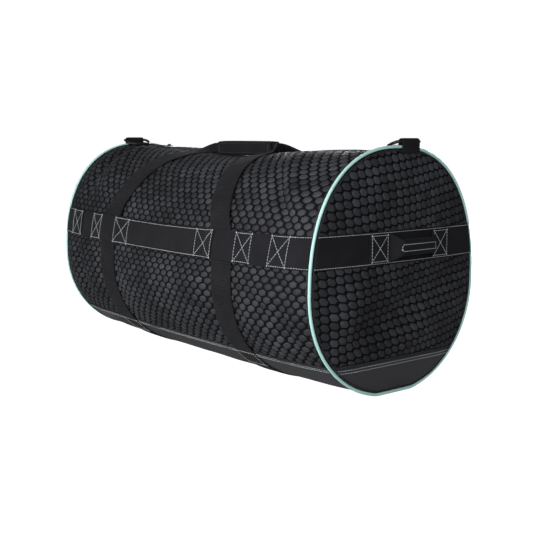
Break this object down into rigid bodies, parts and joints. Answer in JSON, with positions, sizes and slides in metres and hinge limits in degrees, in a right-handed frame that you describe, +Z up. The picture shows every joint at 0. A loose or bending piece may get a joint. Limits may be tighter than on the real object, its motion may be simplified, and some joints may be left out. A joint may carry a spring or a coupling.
{
  "type": "mesh dive gear bag",
  "caption": "Stuffed duffel in hexagon mesh with a coated base, piped ends, a webbing belt, carry and grab handles, and strap rings.",
  "frame": {"origin": "On the floor under the middle of the base", "axes": "+X along the bag towards its right end as seen from the front, -Y towards the front with the label, +Z up"},
  "size_m": [0.8114, 0.3984, 0.3946],
  "materials": {
    "mesh_cloth": "hexagon mesh over dark lining",
    "coated_cloth": "smooth coated cloth, low sheen",
    "webbing": "ribbed black webbing with grey stitches",
    "piping": "smooth pale green vinyl",
    "zip": "woven tape with a plastic coil",
    "black_metal": "black coating, satin"
  },
  "bodies": {
    "bag": {"mesh_front": "mesh_cloth", "mesh_back": "mesh_cloth", "end_mesh_right": "mesh_cloth", "end_mesh_left": "mesh_cloth", "base_panel": "coated_cloth", "end_base_right": "coated_cloth", "end_base_left": "coated_cloth", "strap_right": "webbing", "strap_left": "webbing", "handle_front": "webbing", "handle_back": "webbing", "handle_wrap": "webbing", "belt_front": "webbing", "belt_back": "webbing", "label_panel": "webbing", "belt_tail_front_right": "webbing", "belt_tail_back_right": "webbing", "belt_tail_front_left": "webbing", "belt_tail_back_left": "webbing", "belt_end_right": "webbing", "belt_end_left": "webbing", "grab_handle_right": "webbing", "grab_handle_left": "webbing", "ring_tab_right": "webbing", "ring_tab_left": "webbing", "piping_right": "piping", "piping_left": "piping", "zip": "zip", "zip_slider": "black_metal"},
    "ring_right": {"strap_ring_right": "black_metal"},
    "ring_left": {"strap_ring_left": "black_metal"}
  },
  "joints": [
    {"name": "ring_right_swing", "type": "hinge", "parent": "bag", "child": "ring_right", "pos_m": [0.3735, 0.024, 0.3895], "axis": [0, 1, 0], "range_deg": [0, 244]},
    {"name": "ring_left_swing", "type": "hinge", "parent": "bag", "child": "ring_left", "pos_m": [-0.3735, -0.014, 0.3895], "axis": [0, -1, 0], "range_deg": [0, 244]}
  ]
}
